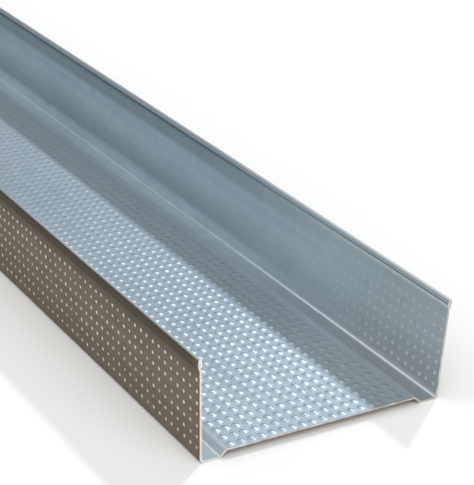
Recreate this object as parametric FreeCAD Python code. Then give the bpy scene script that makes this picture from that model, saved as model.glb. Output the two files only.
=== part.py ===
"""A length of drywall ceiling track: a U channel cold rolled from one strip of thin galvanised sheet.

The channel lies on its web with the flanges up. Seen from an end, the strip runs from the middle of the web
over a step down to a narrow foot at the corner, up the flange, over a small joggle and round a hem that folds
the raw edge back inside. The other half is its mirror image. Lengths are in millimetres, angles in degrees.
X is across the web, Y along the length and Z up; the origin is under the middle of the track, on the floor.
"""

import FreeCAD, Part
import os
from math import cos, radians, sin, tan

from FreeCAD import Vector

# Stock: the strip and the overall size of the channel.
LENGTH = 2600.0
WEB_WIDTH = 70.0
FLANGE_HEIGHT = 28.0
SHEET = 0.5

# Corner between web and flange: the flanges lean outwards a little.
TOE_OUT = 2.4
CORNER_RADIUS = 1.2

# Foot and step: the web stands on two narrow feet, and its middle is raised clear of the floor.
FOOT_WIDTH = 5.6
STEP_RISE = 1.6
STEP_ANGLE = 45.0
STEP_RADIUS = 1.1

# Hem: the flange's edge is folded inwards and its tip pressed back towards the flange, which steps out below it
# so that the fold is centred on the sheet.
HEM_HEIGHT = 2.2
HEM_GAP = 0.2
HEM_TIP = 0.7
HEM_TIP_ANGLE = 10.0
HEM_TIP_RADIUS = 1.2
JOGGLE_ANGLE = 25.0
JOGGLE_RADIUS = 0.8


def setback(angle, radius):
    """Length that a bend takes from the straight run on each side of its corner."""
    return radius * tan(radians(angle) / 2)


def half_strip():
    """The strip from the middle of the web outwards, as (straight run, bend angle, centre-line radius) in order.

    A positive angle bends the strip up and in. Radii are taken to the middle of the sheet.
    """
    corner_angle = 90.0 - TOE_OUT
    corner_radius = CORNER_RADIUS - SHEET / 2
    step_radius = STEP_RADIUS - SHEET / 2
    joggle_radius = JOGGLE_RADIUS - SHEET / 2
    tip_radius = HEM_TIP_RADIUS - SHEET / 2
    fold_radius = (HEM_GAP + SHEET) / 2
    fold_top = fold_radius + SHEET / 2

    step_setback = setback(STEP_ANGLE, step_radius)
    corner_setback = setback(corner_angle, corner_radius)
    joggle_setback = setback(JOGGLE_ANGLE, joggle_radius)
    tip_setback = setback(HEM_TIP_ANGLE, tip_radius)

    step_run = STEP_RISE / tan(radians(STEP_ANGLE))
    web_run = WEB_WIDTH / 2 - FOOT_WIDTH - step_run
    foot_run = FOOT_WIDTH - SHEET / 2
    joggle_rise = fold_radius / tan(radians(JOGGLE_ANGLE))
    hem_leg = HEM_HEIGHT - fold_top
    flange_run = (FLANGE_HEIGHT - SHEET / 2 - fold_top) / cos(radians(TOE_OUT))
    below_joggle = flange_run - hem_leg - joggle_rise

    return [
        (web_run - step_setback, -STEP_ANGLE, step_radius),
        (STEP_RISE / sin(radians(STEP_ANGLE)) - 2 * step_setback, STEP_ANGLE, step_radius),
        (foot_run - step_setback - corner_setback, corner_angle, corner_radius),
        (below_joggle - corner_setback - joggle_setback, -JOGGLE_ANGLE, joggle_radius),
        (fold_radius / sin(radians(JOGGLE_ANGLE)) - 2 * joggle_setback, JOGGLE_ANGLE, joggle_radius),
        (hem_leg - joggle_setback, 180.0, fold_radius),
        (hem_leg - HEM_TIP - tip_setback, HEM_TIP_ANGLE, tip_radius),
        (HEM_TIP - tip_setback, 0.0, 0.0),
    ]


def direction(heading):
    return Vector(cos(radians(heading)), 0, sin(radians(heading)))


def strip_side(strip, offset):
    """Edges of one face of the half strip, from the middle of the web to the hem's raw edge.

    The offset is measured from the middle of the sheet, positive towards the inside of the channel.
    """
    edges = []
    point = Vector(0, 0, STEP_RISE + SHEET / 2)
    heading = 0.0
    for run, angle, radius in strip:
        normal = direction(heading + 90)
        end = point + direction(heading) * run
        edges.append(Part.makeLine(point + normal * offset, end + normal * offset))
        point = end
        if angle:
            sense = 1 if angle > 0 else -1
            centre = point + normal * (sense * radius)
            arm = normal * (offset - sense * radius)
            spin = FreeCAD.Rotation(Vector(0, -1, 0), angle / 2)
            middle_arm = spin.multVec(arm)
            end_arm = spin.multVec(middle_arm)
            edges.append(Part.Arc(centre + arm, centre + middle_arm, centre + end_arm).toShape())
            point = centre + direction(heading + angle + 90) * (-sense * radius)
            heading += angle
    return edges


def half_section():
    """Closed outline of the half channel at the near end, as a face."""
    strip = half_strip()
    inside = strip_side(strip, SHEET / 2)
    outside = strip_side(strip, -SHEET / 2)
    raw_edge = Part.makeLine(outside[-1].lastVertex().Point, inside[-1].lastVertex().Point)
    middle = Part.makeLine(outside[0].firstVertex().Point, inside[0].firstVertex().Point)
    return Part.Face(Part.Wire(inside + [raw_edge] + outside[::-1] + [middle]))


def channel():
    """The whole track: both halves of the section drawn along the length and joined at the middle of the web."""
    face = half_section()
    face.translate(Vector(0, -LENGTH / 2, 0))
    half = face.extrude(Vector(0, LENGTH, 0))
    other = half.mirror(Vector(0, 0, 0), Vector(1, 0, 0))
    return half.fuse(other).removeSplitter()


os.makedirs("parts", exist_ok=True)
track = channel().Solids[0]
track.exportStep("parts/ceiling_track.step")
box = track.BoundBox
print(
    f"ceiling_track: valid {track.isValid()}, volume {track.Volume:.0f} mm3, "
    f"box {box.XLength:.2f} x {box.YLength:.2f} x {box.ZLength:.2f}, lowest {box.ZMin:.3f}, faces {len(track.Faces)}"
)
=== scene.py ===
"""A length of drywall ceiling track as it looks: dimpled galvanised sheet with bright sheared ends.

The part's solid has the smooth section. Here the same strip is drawn again as a surface, with the rows of
dimples that the rolls press into it, its zinc finish and its cut edges. Lengths are in metres and angles
in radians.
"""

from math import ceil, cos, pi, radians, sin, tan

import bpy
import numpy as np
from mathutils import Matrix, Vector


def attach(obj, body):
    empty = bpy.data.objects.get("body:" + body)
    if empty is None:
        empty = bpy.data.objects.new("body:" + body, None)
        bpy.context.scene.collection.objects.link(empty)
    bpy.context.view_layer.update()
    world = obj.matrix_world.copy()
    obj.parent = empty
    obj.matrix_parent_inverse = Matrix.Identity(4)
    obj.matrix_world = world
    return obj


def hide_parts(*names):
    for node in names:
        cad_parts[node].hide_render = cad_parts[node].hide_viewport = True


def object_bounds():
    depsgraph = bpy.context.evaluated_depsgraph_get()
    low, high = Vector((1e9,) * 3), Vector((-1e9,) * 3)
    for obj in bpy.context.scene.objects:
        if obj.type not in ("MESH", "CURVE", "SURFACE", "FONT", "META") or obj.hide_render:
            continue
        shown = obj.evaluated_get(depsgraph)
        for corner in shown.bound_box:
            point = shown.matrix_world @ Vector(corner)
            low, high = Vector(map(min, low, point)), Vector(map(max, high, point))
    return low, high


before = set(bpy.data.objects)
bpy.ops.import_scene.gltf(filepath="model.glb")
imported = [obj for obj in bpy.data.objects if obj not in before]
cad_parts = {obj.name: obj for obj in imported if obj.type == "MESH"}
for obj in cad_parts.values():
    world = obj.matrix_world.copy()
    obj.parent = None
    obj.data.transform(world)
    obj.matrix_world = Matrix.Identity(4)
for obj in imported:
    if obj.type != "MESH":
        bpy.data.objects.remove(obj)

cad_low, cad_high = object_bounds()

# The strip: 0.5 mm galvanised steel sheet that goes through pairs of rolls. They raise the middle of the web,
# turn the flanges up and fold each raw edge into a flat hem. Seen from an end it is one line of straight runs
# and bends, and the two halves mirror each other about the middle of the web.
MM = 0.001
TRACK = "ceiling_track"
SHEET = 0.5 * MM
WEB_WIDTH = 70 * MM
FLANGE_HEIGHT = cad_high.z - cad_low.z
TOE_OUT = radians(2.4)
CORNER_RADIUS = 1.2 * MM
FOOT_WIDTH = 5.6 * MM
STEP_RISE = 1.6 * MM
STEP_ANGLE = radians(45)
STEP_RADIUS = 1.1 * MM
HEM_HEIGHT = 2.2 * MM
HEM_GAP = 0.2 * MM
HEM_TIP = 0.7 * MM
HEM_TIP_ANGLE = radians(10)
HEM_TIP_RADIUS = 1.2 * MM
JOGGLE_ANGLE = radians(25)
JOGGLE_RADIUS = 0.8 * MM


def setback(angle, radius):
    """Length that a bend takes from the run beside it: the radius times the tangent of half the angle."""
    return radius * tan(angle / 2)


def half_strip():
    """Straight runs, bend angles and mid-sheet bend radii, from the middle of the web to the raw edge.

    Each run is the distance between two corners less the setbacks of the bends there. A positive angle bends
    the strip up and in.
    """
    corner_angle = pi / 2 - TOE_OUT
    corner_radius = CORNER_RADIUS - SHEET / 2
    step_radius = STEP_RADIUS - SHEET / 2
    joggle_radius = JOGGLE_RADIUS - SHEET / 2
    tip_radius = HEM_TIP_RADIUS - SHEET / 2
    fold_radius = (HEM_GAP + SHEET) / 2
    fold_top = fold_radius + SHEET / 2
    step_setback = setback(STEP_ANGLE, step_radius)
    corner_setback = setback(corner_angle, corner_radius)
    joggle_setback = setback(JOGGLE_ANGLE, joggle_radius)
    tip_setback = setback(HEM_TIP_ANGLE, tip_radius)
    web_run = WEB_WIDTH / 2 - FOOT_WIDTH - STEP_RISE / tan(STEP_ANGLE)
    foot_run = FOOT_WIDTH - SHEET / 2
    hem_leg = HEM_HEIGHT - fold_top
    flange_run = (FLANGE_HEIGHT - SHEET / 2 - fold_top) / cos(TOE_OUT)
    below_joggle = flange_run - hem_leg - fold_radius / tan(JOGGLE_ANGLE)
    strip = [
        (web_run - step_setback, -STEP_ANGLE, step_radius),
        (STEP_RISE / sin(STEP_ANGLE) - 2 * step_setback, STEP_ANGLE, step_radius),
        (foot_run - step_setback - corner_setback, corner_angle, corner_radius),
        (below_joggle - corner_setback - joggle_setback, -JOGGLE_ANGLE, joggle_radius),
        (fold_radius / sin(JOGGLE_ANGLE) - 2 * joggle_setback, JOGGLE_ANGLE, joggle_radius),
        (hem_leg - joggle_setback, pi, fold_radius),
        (hem_leg - HEM_TIP - tip_setback, HEM_TIP_ANGLE, tip_radius),
        (HEM_TIP - tip_setback, 0.0, SHEET),
    ]
    return np.array(strip).T


STEP_TOP, STEP_BOTTOM, CORNER, JOGGLE_OUT, JOGGLE_BACK, FOLD, TIP, RAW_EDGE = range(8)
RUN, BEND, RADIUS = half_strip()
BEND_LENGTH = RADIUS * np.abs(BEND)
BEND_START = np.cumsum(RUN) + np.cumsum(BEND_LENGTH) - BEND_LENGTH
BEND_END = BEND_START + BEND_LENGTH
HALF_WIDTH = BEND_END[RAW_EDGE]
HEADING = np.concatenate([[0.0], np.cumsum(BEND)])


def ahead(heading):
    """Unit vectors along a heading, as X and Z: its cosine and its sine."""
    return np.stack([np.cos(heading), np.sin(heading)], axis=-1)


def across(heading):
    """Unit vectors a quarter turn from a heading, pointing to the inside of the channel, as X and Z."""
    return np.stack([-np.sin(heading), np.cos(heading)], axis=-1)


def bend_starts():
    """Mid-sheet X and Z where each bend starts: the runs up to it and the chords of earlier bends, summed."""
    chord = (np.sign(BEND) * RADIUS)[:, None] * (across(HEADING[:-1]) - across(HEADING[1:]))
    chord_before = np.concatenate([np.zeros((1, 2)), chord[:-1]])
    middle_of_web = np.array([0.0, STEP_RISE + SHEET / 2])
    return middle_of_web + np.cumsum(RUN[:, None] * ahead(HEADING[:-1]) + chord_before, axis=0)


BEND_PLACE = bend_starts()


def strip_surface(along, length, lift):
    """The sheet as a surface: a point for each distance along the strip, place down the track and lift.

    The distance is signed from the middle of the web. On a run the point moves on at a fixed heading, on a
    bend it turns about the bend's centre, and the lift off mid-sheet is added square to the sheet. The left
    half has X reversed.
    """
    distance = np.abs(along)
    bend = np.minimum(np.searchsorted(BEND_END, distance), RAW_EDGE)
    past = distance - BEND_START[bend]
    sense = np.sign(BEND[bend])
    heading = HEADING[bend] + sense * np.clip(past, 0.0, None) / RADIUS[bend]
    on_run = np.clip(past, None, 0.0)[:, None] * ahead(HEADING[bend])
    on_arc = (sense * RADIUS[bend])[:, None] * (across(HEADING[bend]) - across(heading))
    section = BEND_PLACE[bend] + on_run + on_arc + lift[:, None] * across(heading)
    return np.stack([section[:, 0] * np.where(along < 0, -1.0, 1.0), length, section[:, 1]], axis=1)


# The dimples: small rounded cones in straight rows, pressed through the sheet from outside before it is bent.
# They stiffen it and stop a screw's point from skating. The web has 18 rows and each flange 7, with plain
# bands beside the steps, the corners and the hems.
UNITS = 85
WEB_PER_UNIT = 9
FLANGE_PER_UNIT = 10
WEB_ROWS = 18
WEB_ROW_PITCH = 2.94 * MM
WEB_ROWS_MIDDLE = -0.85 * MM
FLANGE_ROWS = 7
FLANGE_ROW_PITCH = 3.08 * MM
FLANGE_TOP_MARGIN = 2.85 * MM
ROW_MARGIN = 1.45 * MM
WEB_DIMPLE = {
    "radius": 1.25 * MM,
    "depth": 0.43 * MM,
    "point": 1.5,
    "uneven": 0.20,
    "run_out": 0.55,
    "skew": 0.55,
}
FLANGE_DIMPLE = {
    "radius": 0.88 * MM,
    "depth": 0.14 * MM,
    "point": 2.0,
    "uneven": 0.12,
    "run_out": 0.60,
    "skew": 0.0,
}
FLAT_FROM = 1.06
CELL_CORNERS = 4
ROLL_TURN = 0.40
UNEVEN_PLACE = 0.14 * MM
BEND_STEP = radians(15)
GUARD = 0.12 * MM


def plain_lines():
    """Distances along the half strip of the lines that bound its plain strips.

    Each bend is cut into equal steps, with one more line just outside it at either side so that the flats
    beside it are shaded flat, and the last line is the raw edge.
    """
    lines = [HALF_WIDTH]
    for start, end, turn in zip(BEND_START[:RAW_EDGE], BEND_END[:RAW_EDGE], np.abs(BEND[:RAW_EDGE])):
        steps = ceil(turn / BEND_STEP)
        lines += [start - GUARD, end + GUARD, *np.linspace(start, end, steps + 1)]
    return np.unique(lines)


def row_lines(rows):
    """Lines between rows of dimples: half-way between two rows, and a margin outside the first and last."""
    between = (rows[:-1] + rows[1:]) / 2
    return np.concatenate([[rows[0] - ROW_MARGIN], between, [rows[-1] + ROW_MARGIN]])


FLANGE_TOP_ROW = BEND_START[JOGGLE_OUT] - FLANGE_TOP_MARGIN
WEB_ROW = WEB_ROWS_MIDDLE + (np.arange(WEB_ROWS) - (WEB_ROWS - 1) / 2) * WEB_ROW_PITCH
FLANGE_ROW = FLANGE_TOP_ROW - np.arange(FLANGE_ROWS)[::-1] * FLANGE_ROW_PITCH
PLAIN = plain_lines()
WEB_LINE = row_lines(WEB_ROW)
FLANGE_LINE = row_lines(FLANGE_ROW)
CORNER_PLAIN = PLAIN[(PLAIN > WEB_LINE[-1]) & (PLAIN < FLANGE_LINE[0])]
HEM_PLAIN = PLAIN[PLAIN > FLANGE_LINE[-1]]


def quads(a, b, c, d):
    """Two triangles for each four-cornered face, from arrays of its corners in order: a, b, c and a, c, d."""
    first = np.stack([a, b, c], axis=-1).reshape(-1, 3)
    second = np.stack([a, c, d], axis=-1).reshape(-1, 3)
    return np.concatenate([first, second])


def dimple_patch(sides, rings):
    """One dimple in its square cell: spots on even rings round its middle, their radii and the triangles.

    Where there are several rings, one more lies just outside the foot, so that the sheet between dimples is
    shaded flat. The cell's corners come after the spots, from the far right one round to the near right one.
    """
    angle = np.arange(sides) * 2 * pi / sides
    radius = np.arange(1, rings + 1) / rings
    if rings > 1:
        radius = np.append(radius, FLAT_FROM)
        rings += 1
    radius = np.concatenate([[0.0], np.repeat(radius, sides)])
    circle = np.stack([np.cos(angle), np.sin(angle)], axis=1)
    spots = radius[:, None] * np.concatenate([np.zeros((1, 2)), np.tile(circle, (rings, 1))])
    step = np.arange(sides)
    turn = (step + 1) % sides
    crown = np.stack([np.zeros_like(step), 1 + step, 1 + turn], axis=1)
    inner = 1 + np.arange(rings - 1)[:, None] * sides
    outer = inner + sides
    flank = quads(inner + step, outer + step, outer + turn, inner + turn)
    foot = 1 + (rings - 1) * sides
    corner = len(spots) + step * CELL_CORNERS // sides
    flat = np.stack([foot + step, corner, foot + turn], axis=1)
    quarter = np.arange(CELL_CORNERS)
    this_corner = len(spots) + quarter
    corner_before = len(spots) + (quarter - 1) % CELL_CORNERS
    edge = np.stack([corner_before, this_corner, foot + quarter * sides // CELL_CORNERS], axis=1)
    return spots, radius, np.concatenate([crown, flank, flat, edge])


def dimple_lift(radius, point):
    """Share of the full depth at a share of the radius: 1 less that share to a power, and 0 outside the foot.

    A power near 1 gives a cone and a power of 2 a dome.
    """
    return np.clip(1 - radius ** point, 0, None)


def roll_press(rows, length, dimple):
    """Share of the full depth at each row and place, for a roll that runs out of true and sits skew.

    Along the track it is a cosine of the roll's turn, full at the near end. Across it falls off to the right
    with the square of the distance past the middle row.
    """
    turn = 1 - dimple["run_out"] * (1 - np.cos(2 * pi * (length - cad_low.y) / ROLL_TURN)) / 2
    past_middle = np.clip((rows - rows.mean()) / (rows[-1] - rows.mean()), 0, None)
    level = 1 - dimple["skew"] * past_middle ** 2
    return level[:, None] * turn


def stitch(left, right):
    """Triangles of the plain strip between two lines of vertices, one of which has only its two ends.

    The line with many vertices is joined to one end in its first half and to the other in its second half.
    """
    many, few, order = (right, left, 1) if len(left) == 2 else (left, right, -1)
    middle = len(many) // 2
    apex = np.where(np.arange(len(many) - 1) < middle, few[0], few[1])
    fan = np.stack([apex, many[:-1], many[1:]], axis=1)
    closing = np.array([[few[0], many[middle], few[1]]])
    return np.concatenate([fan, closing])[:, ::order]


# The finish: hot-dip zinc, blue-grey and faintly cloudy, drawn out by the rolls into bands and fine lines.
# Inside it is rubbed bright on the bends, partly as painted highlight, and it carries more painted light: a
# lighter painted reflection up the flanges and near the ends, painted sheen beside the corners and on the web
# near the ends, polish with painted glints on the dimples' crowns, a painted shadow along the web's right
# side, and painted shade on the feet and about the hems, where there is some oil too. Outside it is a painted
# dark brown shade for the shadowed ground that it reflects, and its dimples are partly bare zinc, partly
# painted glint.
ZINC_PALE = (0.485, 0.553, 0.606, 1)
ZINC_DARK = (0.373, 0.436, 0.48, 1)
# Painted reflection: the flanges' zinc is a lighter copy of the web's.
FLANGE_REFLECTION_PALE = (0.86, 0.97, 1.0, 1)
FLANGE_REFLECTION_DARK = (0.62, 0.725, 0.775, 1)
# Rubbed zinc, also used for painted highlight and painted reflection.
ZINC_RUBBED_AND_SHEEN = (0.88, 0.92, 0.945, 1)
# Polished dimple crowns, which also carry painted glints.
ZINC_POLISH_AND_GLINT = (0.93, 0.92, 0.85, 1)
# Painted shade outside: a dark brown that stands for the shadowed ground that the outer face reflects, darker
# still towards the hem.
OUTSIDE_SHADE_PALE = (0.30, 0.265, 0.21, 1)
OUTSIDE_SHADE_DARK = (0.22, 0.192, 0.152, 1)
OUTSIDE_HEM_SHADE = (0.11, 0.098, 0.08, 1)
# Outside dimples: partly bare zinc, partly painted glint.
DOT_ZINC_AND_GLINT = (0.88, 0.83, 0.72, 1)
RUST_OUTSIDE = (0.30, 0.19, 0.12, 1)
# Painted shade over the hem's rim, fuller away from the ends.
RIM_SHADE = (0.34, 0.325, 0.325, 1)
# Painted shade: a darker zinc for the feet and the web's shadowed right side.
SHADE_TONE = (0.29, 0.335, 0.36, 1)
# Painted reflection: a warm tint on the flanges near the ends.
END_WARM_REFLECTION = (0.66, 0.665, 0.63, 1)
# Painted shade: a dark line along the hem's tip.
TIP_SHADE_LINE = (0.22, 0.24, 0.245, 1)
# A band below the hem, partly oil and partly painted shade.
OIL_AND_SHADE_BAND = (0.26, 0.31, 0.34, 1)
EDGE_TINT = (0.36, 0.36, 0.36, 1)
CLOUDS = {"per_metre": (45, 18), "detail": 3}
BANDS = {"per_metre": (160, 2.5), "detail": 2}
LINES = {"per_metre": (1500, 12), "detail": 3}
GRAIN = {"per_metre": (1400, 1400), "detail": 2}
SPANGLE_PER_METRE = (260, 180)
CLOUD_SHARE = 0.36
BAND_SHARE = 0.30
LINE_SHARE = 0.16
GRAIN_SHARE = 0.12
SPANGLE_SHARE = 0.06
TONE_RANGE = (0.36, 0.64)
SCRATCHES_PER_METRE = (150, 22)
SCRATCHED_PATCHES = {"per_metre": (60, 25), "detail": 2}
SCRATCHED_RANGE = (0.53, 0.61)
SCRATCH_WIDTH = 0.02
SCRATCH_DARK = 0.35
FLANGE_SCRATCHED = 0.3
BESIDE_WEB = 0.1
BESIDE_FLANGE = 0.9
# Painted reflection up the flange, and painted sheen over step, foot and low flange beside the corner.
REFLECTION_ROW = 4
STEP_SHEEN = 0.60
FOOT_SHEEN = (0.28, 0.50)
LOW_FLANGE_SHEEN = 0.80
# Reaches of the shares that are 1 at the track's ends; they place wear, oil and painted light.
CLOSE_REACH = (15 * MM, 65 * MM)
END_REFLECTION_SHARE = 0.5
NEAR_REACH = (30 * MM, 140 * MM)
# Painted shade on the feet near the ends, and a painted shadow along the web's right side.
FOOT_SHADE = 0.28
SHADOW_STRIP_SIDE = (13 * MM, 17 * MM)
SHADOW_STRIP_SHARE = 0.33
BEND_SHINE = (0.05, 0.8)
# Painted sheen beside the corner, on the web near the ends and on the flanges further in.
SHEEN_DEEP = 1.3 * MM
SHEEN_SHARE = 0.55
WEB_END_SHEEN = 0.12
FLANGE_BAND_SHEEN = 0.40
CROWN_RANGE = (0.40, 0.75)
# Polished crowns with painted glints, strongest on the flanges near the ends.
WEB_POLISH_AND_GLINT = 0.15
FLANGE_POLISH_AND_GLINT = 0.80
# Widths of the oil and painted shade about the hem.
OIL_AND_SHADE_EDGE = 0.17 * MM
OIL_AND_SHADE_DEEP = 1.5 * MM
RIM_SHARE = (0.75, 0.35)
OIL_AND_SHADE_SHARE = 0.45
TIP_SHADE_SHARE = 0.85
RUST_REACH = (0.0, 4.5 * MM)
RUST_SHARE = 0.45
PRESSED_RANGE = (0.55, 0.90)
WEB_ROUGH = 0.57
CROWN_ROUGH = 0.465
CROWN_FROM = 0.20
FLANGE_ROUGH = 0.50
CORNER_ROUGH = 0.44
FOLD_ROUGH = 0.70
ROUGH_SPREAD = 0.05
RELIEF = 0.012 * MM
LINE_HEIGHT = 0.5
GRAIN_HEIGHT = 0.5
SCRATCH_DEPTH = 0.6


def add_node(tree, kind, inputs, **settings):
    """A shader node with its settings, and each input linked to another node's output or set to a value."""
    made = tree.nodes.new(kind)
    for name, value in settings.items():
        setattr(made, name, value)
    for key, value in inputs.items():
        if isinstance(value, bpy.types.NodeSocket):
            tree.links.new(value, made.inputs[key])
        else:
            made.inputs[key].default_value = value
    return made


def reckon(tree, operation, a, b=0.0):
    """One step of arithmetic on two values or outputs."""
    return add_node(tree, "ShaderNodeMath", {0: a, 1: b}, operation=operation).outputs[0]


def product(tree, first, *others):
    """Values or outputs multiplied together in order."""
    total = first
    for value in others:
        total = reckon(tree, "MULTIPLY", total, value)
    return total


def greatest(tree, first, *others):
    """The greatest of some values or outputs."""
    total = first
    for value in others:
        total = reckon(tree, "MAXIMUM", total, value)
    return total


def weighted(tree, parts):
    """The sum of values times their weights."""
    total = 0.0
    for value, weight in parts:
        total = reckon(tree, "ADD", total, product(tree, value, weight))
    return total


def ramp(tree, value, low, high, at_low=0.0, at_high=1.0, kind="LINEAR"):
    """A value that goes from at_low to at_high while another goes from low to high, and stays there."""
    inputs = {"Value": value, "From Min": low, "From Max": high, "To Min": at_low, "To Max": at_high}
    return add_node(tree, "ShaderNodeMapRange", inputs, interpolation_type=kind).outputs[0]


def blend(tree, share, a, b):
    """A colour that is a at share 0 and b at share 1, and an even mix of them between."""
    inputs = {"Factor": share, "A": a, "B": b}
    return add_node(tree, "ShaderNodeMix", inputs, data_type="RGBA").outputs["Result"]


def stretched(tree, place, per_metre):
    """A place on the strip times so many pattern lengths per metre across and along, with no third axis."""
    return add_node(tree, "ShaderNodeMapping", {"Vector": place, "Scale": (*per_metre, 0.0)}).outputs[0]


def noise(tree, place, per_metre, detail):
    """Soft noise from 0 to 1 with so many patches per metre across and along the strip."""
    inputs = {"Vector": stretched(tree, place, per_metre), "Scale": 1.0, "Detail": detail}
    return add_node(tree, "ShaderNodeTexNoise", inputs).outputs["Fac"]


def cells(tree, place, per_metre, output, feature="F1"):
    """Uneven cells, so many per metre across and along: their colour or the distance to their edge."""
    inputs = {"Vector": stretched(tree, place, per_metre), "Scale": 1.0}
    return add_node(tree, "ShaderNodeTexVoronoi", inputs, feature=feature).outputs[output]


def near_end(tree, length, reach):
    """Share that is 1 at both ends of the track and 0 further in: a smooth step between two distances."""
    full, none = reach
    from_middle = reckon(tree, "ABSOLUTE", length)
    return ramp(tree, from_middle, cad_high.y - none, cad_high.y - full, kind="SMOOTHSTEP")


def from_mesh(tree, name, output="Fac"):
    """An attribute of the mesh, as a number or as a vector."""
    return add_node(tree, "ShaderNodeAttribute", {}, attribute_name=name).outputs[output]


def new_metal(name):
    """A bare metal material, its node tree and its shader."""
    material = bpy.data.materials.new(name)
    material.use_nodes = True
    tree = material.node_tree
    shader = tree.nodes["Principled BSDF"]
    shader.inputs["Metallic"].default_value = 1.0
    return material, tree, shader


def dress(tree, shader, colour, rough, height, relief):
    """Colour, roughness and a height times the relief, all given to a shader."""
    bump = add_node(tree, "ShaderNodeBump", {"Height": height, "Distance": relief, "Strength": 1.0})
    tree.links.new(colour, shader.inputs["Base Color"])
    tree.links.new(rough, shader.inputs["Roughness"])
    tree.links.new(bump.outputs[0], shader.inputs["Normal"])


def strip_spot(tree):
    """Where a point lies on the strip, and the shares that follow from it.

    The distance is the one along the strip without its sign. The flange's share goes from 0 at the last line
    of the web's rows to 1 at the first of the flange's. Close to end and near to end are 1 at the track's
    ends and fall to 0 within their reach, and away from end is 1 less near to end. They place wear, oil and
    most of the painted light along the track.
    """
    place = from_mesh(tree, "strip_place", "Vector")
    along, length, crown = add_node(tree, "ShaderNodeSeparateXYZ", {0: place}).outputs
    distance = reckon(tree, "ABSOLUTE", along)
    near_to_end = near_end(tree, length, NEAR_REACH)
    return {
        "place": place,
        "along": along,
        "length": length,
        "crown": crown,
        "distance": distance,
        "flange": ramp(tree, distance, WEB_LINE[-1], FLANGE_LINE[0]),
        "close_to_end": near_end(tree, length, CLOSE_REACH),
        "near_to_end": near_to_end,
        "away_from_end": reckon(tree, "SUBTRACT", 1.0, near_to_end),
        "bend": from_mesh(tree, "bend_wear_and_shine"),
    }


def zinc_pattern(tree, place):
    """Tone of the zinc from 0 dark to 1 pale, with the rolled lines and the grain that it is made from.

    The tone is a weighted sum of clouds, bands, fine lines, grain and spangle, stretched to a full range.
    """
    clouds = noise(tree, place, **CLOUDS)
    bands = noise(tree, place, **BANDS)
    lines = noise(tree, place, **LINES)
    grain = noise(tree, place, **GRAIN)
    spangle_colour = cells(tree, place, SPANGLE_PER_METRE, "Color")
    spangle = add_node(tree, "ShaderNodeSeparateColor", {0: spangle_colour}).outputs[0]
    parts = [
        (clouds, CLOUD_SHARE),
        (bands, BAND_SHARE),
        (lines, LINE_SHARE),
        (grain, GRAIN_SHARE),
        (spangle, SPANGLE_SHARE),
    ]
    return ramp(tree, weighted(tree, parts), *TONE_RANGE), lines, grain


def hair_scratches(tree, place, flange):
    """Share of a scratch: 1 on the thin edges of long cells, in some patches, and less on the flanges."""
    from_edge = cells(tree, place, SCRATCHES_PER_METRE, "Distance", "DISTANCE_TO_EDGE")
    thin = ramp(tree, from_edge, 0.0, SCRATCH_WIDTH, 1.0, 0.0)
    patches = ramp(tree, noise(tree, place, **SCRATCHED_PATCHES), *SCRATCHED_RANGE)
    return product(tree, thin, patches, ramp(tree, flange, 0.0, 1.0, 1.0, FLANGE_SCRATCHED))


def reflection_and_sheen_share(tree, distance, away_from_end):
    """Share of the flange's lighter zinc, a painted reflection: the greater of one that rises up it and one
    beside the corner.

    The second is painted sheen. It goes over step, foot and low flange in ramps, leaves out the corner's
    bend, and fades towards the track's ends.
    """
    upper = ramp(tree, distance, BEND_END[CORNER], FLANGE_ROW[REFLECTION_ROW])
    foot = ramp(tree, distance, BEND_END[STEP_BOTTOM], BEND_START[CORNER], *FOOT_SHEEN)
    foot = ramp(tree, distance, BEND_START[CORNER], BEND_END[CORNER], foot, LOW_FLANGE_SHEEN)
    foot = ramp(tree, distance, BEND_END[STEP_TOP], BEND_END[STEP_BOTTOM], STEP_SHEEN, foot)
    foot = ramp(tree, distance, BEND_START[STEP_TOP], BEND_END[STEP_TOP], 0.0, foot)
    foot = ramp(tree, distance, FLANGE_ROW[0], FLANGE_ROW[1], foot, 0.0)
    half_corner = BEND_LENGTH[CORNER] / 2
    past_corner = reckon(tree, "SUBTRACT", distance, BEND_START[CORNER] + half_corner)
    off_corner = ramp(tree, reckon(tree, "ABSOLUTE", past_corner), half_corner / 2, half_corner)
    return greatest(tree, upper, product(tree, foot, off_corner, away_from_end))


def rubbed_and_sheen_share(tree, spot):
    """Share of zinc that is rubbed bright, with painted highlight and reflection: the greatest of bends,
    corner sheen, web and flanges.

    The bends are partly wear and partly painted highlight, the sheen and the web's share are painted
    highlight, and the flanges' share is a painted reflection. Each goes with how near the track's ends it is.
    The sheen fades out just above the corner.
    """
    distance, flange = spot["distance"], spot["flange"]
    near_to_end, close_to_end = spot["near_to_end"], spot["close_to_end"]
    # Bends: partly wear, partly painted highlight.
    bends = product(tree, spot["bend"], ramp(tree, near_to_end, 0.0, 1.0, *BEND_SHINE))
    sheen_top = BEND_END[CORNER] + SHEEN_DEEP
    sheen_share = product(tree, near_to_end, SHEEN_SHARE)
    # Painted highlight: sheen just above the corner.
    sheen = product(
        tree,
        ramp(tree, distance, BEND_START[CORNER], BEND_END[CORNER]),
        ramp(tree, distance, BEND_END[CORNER], sheen_top, sheen_share, 0.0),
    )
    # Painted highlight on the web near the ends.
    web = product(tree, close_to_end, ramp(tree, flange, 0.0, BESIDE_WEB, WEB_END_SHEEN, 0.0))
    between_reaches = reckon(tree, "SUBTRACT", near_to_end, close_to_end)
    # Painted reflection: a lighter band on the flanges a little way in from the ends.
    flanges = product(tree, between_reaches, ramp(tree, flange, BESIDE_FLANGE, 1.0, 0.0, FLANGE_BAND_SHEEN))
    return greatest(tree, bends, sheen, web, flanges)


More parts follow.
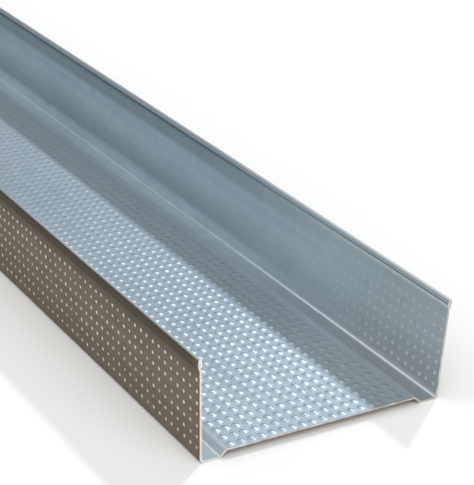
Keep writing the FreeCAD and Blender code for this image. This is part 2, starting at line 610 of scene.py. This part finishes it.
def hem_oil_and_shade(tree, spot, zinc):
    """The zinc's colour with oil and painted shade about the hem: painted shade over the rim, a band below it
    that is partly oil and partly painted shade, and a painted shade line along its tip.

    The band is a sum of two ramps, one from the last row of dimples and one over the joggle. Away from the
    track's ends rim and band are fuller, and the line at the tip is wider.
    """
    distance, near_to_end, away_from_end = spot["distance"], spot["near_to_end"], spot["away_from_end"]
    # Painted shade over the rim, fuller away from the ends.
    rim = product(
        tree,
        ramp(tree, distance, BEND_START[FOLD], BEND_START[FOLD] + OIL_AND_SHADE_EDGE),
        ramp(tree, distance, BEND_END[FOLD] - OIL_AND_SHADE_EDGE, BEND_END[FOLD] + OIL_AND_SHADE_EDGE, 1.0, 0.0),
        ramp(tree, near_to_end, 0.0, 1.0, *RIM_SHARE),
    )
    zinc = blend(tree, rim, zinc, RIM_SHADE)
    # A band below the hem, partly oil and partly painted shade.
    from_row = ramp(tree, distance, FLANGE_ROW[-1] - OIL_AND_SHADE_DEEP, FLANGE_ROW[-1])
    over_joggle = ramp(tree, distance, BEND_START[JOGGLE_OUT] - OIL_AND_SHADE_EDGE, BEND_END[JOGGLE_BACK])
    band = weighted(tree, [(from_row, OIL_AND_SHADE_SHARE), (over_joggle, OIL_AND_SHADE_SHARE)])
    below_fold = ramp(tree, distance, BEND_END[JOGGLE_BACK], BEND_START[FOLD], 1.0, 0.0)
    zinc = blend(tree, product(tree, band, below_fold, away_from_end), zinc, OIL_AND_SHADE_BAND)
    # Painted shade: a dark line along the hem's tip, wider away from the ends.
    past_tip = product(tree, away_from_end, TIP_SHADE_SHARE)
    line = product(
        tree,
        ramp(tree, distance, BEND_START[TIP] - 2 * OIL_AND_SHADE_EDGE, BEND_START[TIP] - OIL_AND_SHADE_EDGE),
        ramp(tree, distance, BEND_START[TIP], BEND_START[TIP] + OIL_AND_SHADE_EDGE, TIP_SHADE_SHARE, past_tip),
    )
    return blend(tree, line, zinc, TIP_SHADE_LINE)


def inside_colour(tree, spot, tone, scratch):
    """Colour inside the channel: zinc in two tones, blended in turn with wear, oil, scratches and painted
    light.

    These are a lighter painted reflection up the flanges with painted sheen beside the corner, a warm painted
    reflection near the ends, painted shade on the feet and a painted shadow along the web's right side, zinc
    rubbed bright that is partly painted highlight, polished dimples with painted glints, oil and painted
    shade about the hem, and scratches.
    """
    distance, flange, close_to_end = spot["distance"], spot["flange"], spot["close_to_end"]
    zinc = blend(tree, tone, ZINC_DARK, ZINC_PALE)
    flange_reflection = blend(tree, tone, FLANGE_REFLECTION_DARK, FLANGE_REFLECTION_PALE)
    # Painted reflection: lighter zinc up the flanges, with painted sheen beside the corner.
    zinc = blend(tree, reflection_and_sheen_share(tree, distance, spot["away_from_end"]), zinc, flange_reflection)
    # Painted reflection: a warm tint on the flanges near the ends.
    zinc = blend(tree, product(tree, close_to_end, flange, END_REFLECTION_SHARE), zinc, END_WARM_REFLECTION)
    # Painted shade: the feet darker near the ends.
    foot = product(
        tree,
        ramp(tree, distance, BEND_START[STEP_BOTTOM], BEND_END[STEP_BOTTOM]),
        ramp(tree, distance, BEND_START[CORNER], BEND_END[CORNER], FOOT_SHADE, 0.0),
        spot["near_to_end"],
    )
    zinc = blend(tree, foot, zinc, SHADE_TONE)
    # Painted shadow: the web's right side darker, where the right flange's shadow falls.
    on_web = ramp(tree, flange, 0.0, BESIDE_WEB, SHADOW_STRIP_SHARE, 0.0)
    zinc = blend(tree, product(tree, ramp(tree, spot["along"], *SHADOW_STRIP_SIDE), on_web), zinc, SHADE_TONE)
    # Rubbed zinc and painted highlight.
    zinc = blend(tree, rubbed_and_sheen_share(tree, spot), zinc, ZINC_RUBBED_AND_SHEEN)
    # Polished dimple crowns with painted glints, strongest on the flanges near the ends.
    flange_polish_and_glint = ramp(tree, close_to_end, 0.0, 1.0, 0.0, FLANGE_POLISH_AND_GLINT)
    polish_and_glint = ramp(tree, flange, 0.0, 1.0, WEB_POLISH_AND_GLINT, flange_polish_and_glint)
    zinc = blend(tree, product(tree, ramp(tree, spot["crown"], *CROWN_RANGE), polish_and_glint), zinc, ZINC_POLISH_AND_GLINT)
    # Oil and painted shade about the hem.
    zinc = hem_oil_and_shade(tree, spot, zinc)
    return blend(tree, product(tree, scratch, SCRATCH_DARK), zinc, ZINC_DARK)


def outside_colour(tree, spot, tone):
    """Colour outside: a painted shade in two tones, dark brown for the shadowed ground that this face
    reflects, blended in turn with three more colours.

    These are a darker painted shade towards the hem, rust at the cut ends, and dimples that are partly bare
    zinc and partly painted glint.
    """
    # Painted shade: dark brown for the shadowed ground that this face reflects.
    painted_outside = blend(tree, tone, OUTSIDE_SHADE_DARK, OUTSIDE_SHADE_PALE)
    # Painted shade, darker towards the hem.
    to_hem = ramp(tree, spot["distance"], FLANGE_ROW[-1] - OIL_AND_SHADE_DEEP, BEND_START[FOLD] + OIL_AND_SHADE_EDGE)
    painted_outside = blend(tree, to_hem, painted_outside, OUTSIDE_HEM_SHADE)
    rust = ramp(tree, near_end(tree, spot["length"], RUST_REACH), 0.0, 1.0, 0.0, RUST_SHARE)
    painted_outside = blend(tree, rust, painted_outside, RUST_OUTSIDE)
    # The dimples are partly bare zinc and partly a painted glint.
    return blend(tree, ramp(tree, spot["crown"], *PRESSED_RANGE), painted_outside, DOT_ZINC_AND_GLINT)


def zinc_roughness(tree, spot, tone):
    """Roughness: a ramp from web to flange, with smoother dimples on the web and a little less on pale zinc.

    On the bends it is a ramp from the corner's value to the fold's, by their share of wear.
    """
    web = ramp(tree, spot["crown"], 0.0, CROWN_FROM, WEB_ROUGH, CROWN_ROUGH)
    flats = ramp(tree, spot["flange"], 0.0, 1.0, web, FLANGE_ROUGH)
    flats = reckon(tree, "ADD", flats, ramp(tree, tone, 0.0, 1.0, ROUGH_SPREAD, -ROUGH_SPREAD))
    corner = ramp(tree, spot["near_to_end"], 0.0, 1.0, WEB_ROUGH, CORNER_ROUGH)
    bends = ramp(tree, spot["distance"], BEND_END[CORNER], BEND_START[FOLD], corner, FOLD_ROUGH)
    return ramp(tree, spot["bend"], 0.0, 1.0, flats, bends)


def zinc_skin():
    """The zinc of both faces and its painted light, inside and outside colours parted by the share of outer
    skin.

    Its lines and grain raise the surface by about a hundredth of a millimetre, and hair scratches cut it.
    """
    material, tree, shader = new_metal("zinc_with_painted_light")
    spot = strip_spot(tree)
    tone, lines, grain = zinc_pattern(tree, spot["place"])
    scratch = hair_scratches(tree, spot["place"], spot["flange"])
    inside = inside_colour(tree, spot, tone, scratch)
    outside = outside_colour(tree, spot, tone)
    colour = blend(tree, from_mesh(tree, "outer_skin"), inside, outside)
    height = weighted(tree, [(lines, LINE_HEIGHT), (grain, GRAIN_HEIGHT), (scratch, -SCRATCH_DEPTH)])
    dress(tree, shader, colour, zinc_roughness(tree, spot, tone), height, RELIEF)
    shader.inputs["Specular Tint"].default_value = EDGE_TINT
    return material


# The cut ends and the raw edges of the hems: bare steel, sheared square. The blade burnishes the side that it
# enters and tears the rest, which leaves fine lines across the sheet. A brownish bloom of rust starts near
# the left and covers the rest in patches.
STEEL_BURNISHED = (0.93, 0.91, 0.88, 1)
STEEL_TORN = (0.66, 0.62, 0.58, 1)
STEEL_RUSTED = (0.42, 0.34, 0.28, 1)
SHEAR_LINES = {"per_metre": (5000, 0), "detail": 2}
STEEL_PATCHES = {"per_metre": (320, 320), "detail": 3}
PATCH_SHARE = 0.5
TORN_RANGE = (0.55, 0.95)
SHEAR_LINE_RANGE = (0.45, 0.75)
SHEAR_LINE_SHARE = 0.35
BLOOM_SIDE = (-0.42 * WEB_WIDTH, -0.25 * WEB_WIDTH)
BLOOM_SHARE = 0.8
BLOOM_RANGE = (0.30, 0.60)
BURNISHED_ROUGH = 0.30
TORN_ROUGH = 0.50
SHEAR_RELIEF = 0.02 * MM


def sheared_steel():
    """Bare steel that goes from burnished to torn across the sheet, with fine lines and patches of rust."""
    material, tree, shader = new_metal("sheared_steel")
    place = from_mesh(tree, "strip_place", "Vector")
    along = add_node(tree, "ShaderNodeSeparateXYZ", {0: place}).outputs[0]
    lines = noise(tree, place, **SHEAR_LINES)
    patches = noise(tree, place, **STEEL_PATCHES)
    outward = weighted(tree, [(from_mesh(tree, "outer_skin"), 1.0), (patches, PATCH_SHARE)])
    torn = ramp(tree, outward, *TORN_RANGE)
    steel = blend(tree, torn, STEEL_BURNISHED, STEEL_TORN)
    steel = blend(tree, ramp(tree, lines, *SHEAR_LINE_RANGE, 0.0, SHEAR_LINE_SHARE), steel, STEEL_TORN)
    bloom = product(
        tree,
        ramp(tree, along, *BLOOM_SIDE, 0.0, BLOOM_SHARE),
        ramp(tree, patches, *BLOOM_RANGE),
    )
    steel = blend(tree, bloom, steel, STEEL_RUSTED)
    dress(tree, shader, steel, ramp(tree, torn, 0.0, 1.0, BURNISHED_ROUGH, TORN_ROUGH), lines, SHEAR_RELIEF)
    return material


# The track: the dimpled strip as five lengths end to end, so that each mesh stays small. All belong to one
# rolled piece. A length is given by its units, the sides of a dimple and its rings, and the dimples have most
# faces at the end that shows in the photo.
LENGTHS = [(4, 8, 3), (4, 8, 3), (26, 4, 1), (26, 4, 1), (25, 4, 1)]
INSIDE = 1
OUTSIDE = -1
SHARP_EDGE = radians(50)
# Share of rubbed zinc on each bend and plain run: partly wear, partly painted highlight.
BEND_RUB_AND_SHINE = np.array([0.4, 0.9, 0.55, 0.0, 0.0, 0.25, 1.0, 1.0])
STEP_WEAR_AND_SHINE = 0.6
HEM_WEAR_AND_SHINE = 0.25
# Where the outside's painted shade thins out over the fold.
OUTSIDE_SHADE_OVER = (0.12, 0.48)
SHUT_BY = (0.17 * MM, 0.05 * MM)
MAP_SIDE = 0.03
MAP_CUT = (0.004, 0.014)
MAP_INSIDE = 0.02
MAP_OUTSIDE = 0.52
MAP_SKIN = 0.46
MAP_RAW = (0.496, 0.502)
MAP_RAW_HEIGHT = 0.003


def bend_wear_and_shine(along):
    """Wear and painted highlight at a distance along the strip: the greatest of the bend's own share and
    three plain shares.

    Those are one for the short run of a step, a lesser one for the hem's fold and leg, and 1 for its tip.
    """
    distance = np.abs(along)
    slack = GUARD / 2
    on_bend = (distance[:, None] > BEND_START - slack) & (distance[:, None] < BEND_END + slack)
    on_step = (distance > BEND_END[STEP_TOP]) & (distance < BEND_START[STEP_BOTTOM])
    on_hem = (distance > BEND_START[FOLD]) & (distance < BEND_START[TIP])
    on_tip = distance > BEND_START[TIP] - slack
    plain = np.maximum(STEP_WEAR_AND_SHINE * on_step, np.maximum(HEM_WEAR_AND_SHINE * on_hem, on_tip))
    return np.maximum((on_bend * BEND_RUB_AND_SHINE).max(axis=1), plain)


def sheared_shut(along, length):
    """Shift in X that closes the hem at the track's two ends, where the shear squeezes it to the flange.

    It grows from nothing to the first of two shifts round the fold, and is the second at the raw edge.
    """
    distance = np.abs(along)
    at_end = (length < cad_low.y + GUARD) | (length > cad_high.y - GUARD)
    shift = np.interp(distance, [BEND_START[FOLD], BEND_END[FOLD], HALF_WIDTH], [0.0, *SHUT_BY])
    return np.sign(along) * at_end * shift


def strip_bands(near, far, units):
    """The bands of a length, from the left raw edge to the right one: lines, cuts, rows and form of dimple.

    A plain band is cut at its two ends only. A dimpled one is cut evenly, so many times in each unit.
    """
    ends = np.array([near, far])
    web_cuts = np.linspace(near, far, units * WEB_PER_UNIT + 1)
    flange_cuts = np.linspace(near, far, units * FLANGE_PER_UNIT + 1)
    return [
        (-HEM_PLAIN[::-1], ends, None, None),
        (-FLANGE_LINE[::-1], flange_cuts, -FLANGE_ROW[::-1], FLANGE_DIMPLE),
        (-CORNER_PLAIN[::-1], ends, None, None),
        (WEB_LINE, web_cuts, WEB_ROW, WEB_DIMPLE),
        (CORNER_PLAIN, ends, None, None),
        (FLANGE_LINE, flange_cuts, FLANGE_ROW, FLANGE_DIMPLE),
        (HEM_PLAIN, ends, None, None),
    ]


def sheet_face(side, bands, sides, rings, seed):
    """One face of the sheet: its points on the strip, its triangles, and its borders at the near and far end.

    A point is a distance along the strip, a place down the track, a lift off mid-sheet and a share of dimple.
    The lift is half the sheet to the face's side plus the dimple's depth times the roll's press and its form.
    Dimples lie in the cells between lines and cuts, each a little uneven in depth and place.
    """
    spots, spot_radius, patch = dimple_patch(sides, rings)
    uneven = np.random.default_rng(seed)
    points, grids, triangles = [], [], []
    count = 0
    for lines, cuts, rows, dimple in bands:
        grid = count + np.arange(len(lines) * len(cuts)).reshape(len(lines), len(cuts))
        count += grid.size
        grids.append(grid)
        flat = np.zeros(grid.size)
        points.append([np.repeat(lines, len(cuts)), np.tile(cuts, len(lines)), flat, flat])
        if rows is None:
            near_side, far_side = grid.T
            triangles.append(quads(near_side[:-1], near_side[1:], far_side[1:], far_side[:-1]))
            continue
        middles = (cuts[:-1] + cuts[1:]) / 2
        shape = (len(rows), len(middles), len(spots))
        form = dimple_lift(spot_radius, dimple["point"])
        mark = 1 + dimple["uneven"] * uneven.uniform(-1, 1, shape[:2])
        press = mark * roll_press(rows, middles, dimple)
        shift = UNEVEN_PLACE * uneven.uniform(-1, 1, (2, *shape[:2], 1))
        across_row, down_row = dimple["radius"] * spots.T
        along = rows[:, None, None] + shift[0] + across_row
        length = middles[:, None] + shift[1] + down_row
        lift = dimple["depth"] * press[..., None] * form
        shown = press if dimple is WEB_DIMPLE else mark
        crown = shown[..., None] * form
        points.append([along.ravel(), length.ravel(), lift.ravel(), crown.ravel()])
        crowns = count + np.arange(np.prod(shape)).reshape(shape)
        count += crowns.size
        corners = np.stack([grid[1:, 1:], grid[:-1, 1:], grid[:-1, :-1], grid[1:, :-1]], axis=-1)
        cell = np.concatenate([crowns, corners], axis=-1)
        triangles.append(cell[:, :, patch].reshape(-1, 3))
    triangles += [stitch(one[-1], other[0]) for one, other in zip(grids[:-1], grids[1:])]
    along, length, lift, crown = np.concatenate(points, axis=1)
    near_border = np.concatenate([grid[:, 0] for grid in grids])
    far_border = np.concatenate([grid[:, -1] for grid in grids])
    on_strip = np.stack([along, length, side * SHEET / 2 + lift, crown])
    return on_strip, np.concatenate(triangles)[:, ::side], near_border, far_border


def unroll(mesh, along, share, inside, parts):
    """A map of the strip laid flat: outside above inside, cut ends at the sides, raw edges between the faces.

    Across the map runs the share of the length, and up it the distance along the strip from edge to edge.
    """
    skin, near_cut, far_cut, raw = parts
    width = (along + HALF_WIDTH) / (2 * HALF_WIDTH)
    flat_across = MAP_SIDE + (1 - 2 * MAP_SIDE) * share
    flat_up = np.where(inside, MAP_INSIDE, MAP_OUTSIDE) + MAP_SKIN * width
    cut_across = np.where(inside, MAP_CUT[1], MAP_CUT[0])
    cut_up = MAP_INSIDE + (1 - 2 * MAP_INSIDE) * width
    raw_up = np.where(along < 0, MAP_RAW[0], MAP_RAW[1]) + np.where(inside, 0.0, MAP_RAW_HEIGHT)
    maps = [
        np.stack([flat_across, flat_up], axis=1)[skin],
        np.stack([cut_across, cut_up], axis=1)[near_cut],
        np.stack([1 - cut_across, cut_up], axis=1)[far_cut],
        np.stack([flat_across, raw_up], axis=1)[raw],
    ]
    layer = mesh.uv_layers.new(name="OFBake")
    layer.uv.foreach_set("vector", np.concatenate(maps).ravel().astype(np.float32))


def rolled_length(name, first_unit, units, sides, rings):
    """A length of the track as one closed mesh: inside face, outside face, two ends and two raw edges.

    Both faces have the same points on the strip, so that the ends and the edges join like to like. The
    painted shade outside reaches over the fold and thins out in a ramp.
    """
    track_length = cad_high.y - cad_low.y
    near = cad_low.y + track_length * first_unit / UNITS
    far = cad_low.y + track_length * (first_unit + units) / UNITS
    bands = strip_bands(near, far, units)
    inner, inner_skin, near_in, far_in = sheet_face(INSIDE, bands, sides, rings, first_unit)
    outer, outer_skin, near_out, far_out = sheet_face(OUTSIDE, bands, sides, rings, first_unit)
    per_face = inner.shape[1]
    along, length, lift, crown = np.concatenate([inner, outer], axis=1)
    inside = np.arange(len(along)) < per_face
    near_out = near_out + per_face
    far_out = far_out + per_face
    skin = np.concatenate([inner_skin, outer_skin + per_face])
    near_cut = quads(near_out[:-1], near_out[1:], near_in[1:], near_in[:-1])
    far_cut = quads(far_out[1:], far_out[:-1], far_in[:-1], far_in[1:])
    left_raw = quads(near_out[:1], near_in[:1], far_in[:1], far_out[:1])
    right_raw = quads(near_out[-1:], far_out[-1:], far_in[-1:], near_in[-1:])
    raw = np.concatenate([left_raw, right_raw])
    faces = np.concatenate([skin, near_cut, far_cut, raw])

    points = strip_surface(along, length, lift)
    points[:, 0] += sheared_shut(along, length)
    mesh = bpy.data.meshes.new(name)
    mesh.from_pydata(points, [], faces)
    mesh.polygons.foreach_set("material_index", (np.arange(len(faces)) >= len(skin)).astype(np.int32))
    mesh.polygons.foreach_set("use_smooth", np.ones(len(faces), dtype=bool))
    mesh.set_sharp_from_angle(angle=SHARP_EDGE)
    unroll(mesh, along, (length - near) / (far - near), inside, [skin, near_cut, far_cut, raw])
    place = mesh.attributes.new("strip_place", "FLOAT_VECTOR", "POINT")
    place.data.foreach_set("vector", np.stack([along, length, crown], axis=1).ravel())
    wear = mesh.attributes.new("bend_wear_and_shine", "FLOAT", "POINT")
    wear.data.foreach_set("value", bend_wear_and_shine(along).astype(np.float32))
    # Share of the outside colour, which is a painted shade.
    painted_outside = mesh.attributes.new("outer_skin", "FLOAT", "POINT")
    round_fold = (np.abs(along) - BEND_START[FOLD]) / BEND_LENGTH[FOLD]
    painted_outside_share = np.interp(round_fold, OUTSIDE_SHADE_OVER, [1.0, 0.0])
    painted_outside.data.foreach_set("value", np.where(inside, 0.0, painted_outside_share).astype(np.float32))
    piece = bpy.data.objects.new(name, mesh)
    bpy.context.scene.collection.objects.link(piece)
    return piece


zinc = zinc_skin()
bare_steel = sheared_steel()
unit = 0
for number, (units, sides, rings) in enumerate(LENGTHS, start=1):
    piece = rolled_length(f"track_length_{number}", unit, units, sides, rings)
    piece.data.materials.append(zinc)
    piece.data.materials.append(bare_steel)
    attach(piece, "root")
    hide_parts(TRACK)
    unit += units

# The floor: a wide sheet of matt white paper, as in a studio. The track lies loose on it on its two feet, and
# takes a soft light back from it.
FLOOR_REACH = 40.0
FLOOR_WHITE = (0.97, 0.955, 0.935, 1)
PAPER_ROUGH = 0.9
floor_corners = [(x * FLOOR_REACH, y * FLOOR_REACH, 0.0) for x, y in ((-1, -1), (1, -1), (1, 1), (-1, 1))]
floor_mesh = bpy.data.meshes.new("floor")
floor_mesh.from_pydata(floor_corners, [], [(0, 1, 2, 3)])
floor = bpy.data.objects.new("floor", floor_mesh)
bpy.context.scene.collection.objects.link(floor)
floor_paper = bpy.data.materials.new("white_paper")
floor_paper.use_nodes = True
paper_shader = floor_paper.node_tree.nodes["Principled BSDF"]
paper_shader.inputs["Base Color"].default_value = FLOOR_WHITE
paper_shader.inputs["Roughness"].default_value = PAPER_ROUGH
paper_shader.inputs["Specular IOR Level"].default_value = 0.0
floor_mesh.materials.append(floor_paper)

# The light: one lamp from the right and behind, which throws the right flange's shadow on the web, and a dim
# room with a pale ceiling and three large soft panels. They stand behind on the left, behind on the right and
# behind the camera.
LAMP_FROM = Vector((0.571, 0.42, 0.705))
LAMP_STRENGTH = 0.81
LAMP_COLOUR = (0.92, 1.0, 1.10)
LAMP_WIDTH = radians(3)
ROOM_LOW = (0.12, 0.13, 0.14, 1)
ROOM_CEILING = (0.36, 0.375, 0.385, 1)
CEILING_RISE = (0.35, 1.0)
BACK_PANEL = (1.18, 1.215, 1.235, 1)
BACK_PANEL_AT = Vector((-0.55, 0.70, 0.47))
BACK_PANEL_EDGE = (0.45, 0.95)
BACK_PANEL_RISE = (0.15, 0.50)
SIDE_PANEL = (0.40, 0.425, 0.445, 1)
SIDE_PANEL_AT = Vector((0.484, 0.775, 0.407))
SIDE_PANEL_EDGE = (0.75, 0.97)
FRONT_PANEL = (1.80, 1.80, 1.80, 1)
FRONT_PANEL_AT = Vector((-0.20, -0.75, 0.60))
FRONT_PANEL_EDGE = (0.55, 0.95)

lamp = bpy.data.lights.new("key_lamp", "SUN")
lamp.energy = LAMP_STRENGTH
lamp.angle = LAMP_WIDTH
lamp.color = LAMP_COLOUR
lamp_object = bpy.data.objects.new("key_lamp", lamp)
lamp_object.rotation_mode = "QUATERNION"
lamp_object.rotation_quaternion = LAMP_FROM.to_track_quat("Z", "Y")
bpy.context.scene.collection.objects.link(lamp_object)


def soft_panel(tree, direction, at, edge):
    """Share of a soft panel in a direction: a smooth step of the cosine to its middle between two bounds."""
    inputs = {0: direction, 1: at.normalized()}
    cosine = add_node(tree, "ShaderNodeVectorMath", inputs, operation="DOT_PRODUCT").outputs["Value"]
    return ramp(tree, cosine, *edge, kind="SMOOTHSTEP")


room = bpy.data.worlds.new("room")
room.use_nodes = True
bpy.context.scene.world = room
sky = room.node_tree
direction = add_node(sky, "ShaderNodeTexCoord", {}).outputs["Generated"]
height = add_node(sky, "ShaderNodeSeparateXYZ", {0: direction}).outputs["Z"]
walls = blend(sky, ramp(sky, height, *CEILING_RISE, kind="SMOOTHSTEP"), ROOM_LOW, ROOM_CEILING)
walls = blend(sky, soft_panel(sky, direction, SIDE_PANEL_AT, SIDE_PANEL_EDGE), walls, SIDE_PANEL)
back_share = soft_panel(sky, direction, BACK_PANEL_AT, BACK_PANEL_EDGE)
back_rise = ramp(sky, height, *BACK_PANEL_RISE, kind="SMOOTHSTEP")
walls = blend(sky, product(sky, back_share, back_rise), walls, BACK_PANEL)
walls = blend(sky, soft_panel(sky, direction, FRONT_PANEL_AT, FRONT_PANEL_EDGE), walls, FRONT_PANEL)
sky.links.new(walls, sky.nodes["Background"].inputs["Color"])

# The camera: above the left flange at the near end, looking along the track and down into it as the photo
# does. Its lens is given as a focal length in the photo's pixels, and its place from the foot of that end.
PHOTO_HEIGHT = 485
FOCAL_PIXELS = 1642
SENSOR = 36
CAMERA_FROM_END = Vector((-0.2055, -0.2846, 0.2057))
CAMERA_AZIMUTH = radians(32.01)
CAMERA_ELEVATION = radians(24.07)
CAMERA_ROLL = radians(2.74)

camera_data = bpy.data.cameras.new("camera")
camera_data.sensor_width = SENSOR
camera_data.lens = FOCAL_PIXELS / PHOTO_HEIGHT * SENSOR
camera = bpy.data.objects.new("camera", camera_data)
camera.location = Vector((0.0, cad_low.y, 0.0)) + CAMERA_FROM_END
heading = Matrix.Rotation(-CAMERA_AZIMUTH, 4, "Z")
tilt = Matrix.Rotation(pi / 2 - CAMERA_ELEVATION, 4, "X")
roll = Matrix.Rotation(CAMERA_ROLL, 4, "Z")
camera.rotation_mode = "QUATERNION"
camera.rotation_quaternion = (heading @ tilt @ roll).to_quaternion()
bpy.context.scene.collection.objects.link(camera)
bpy.context.scene.camera = camera
bpy.context.scene.view_settings.view_transform = "Standard"
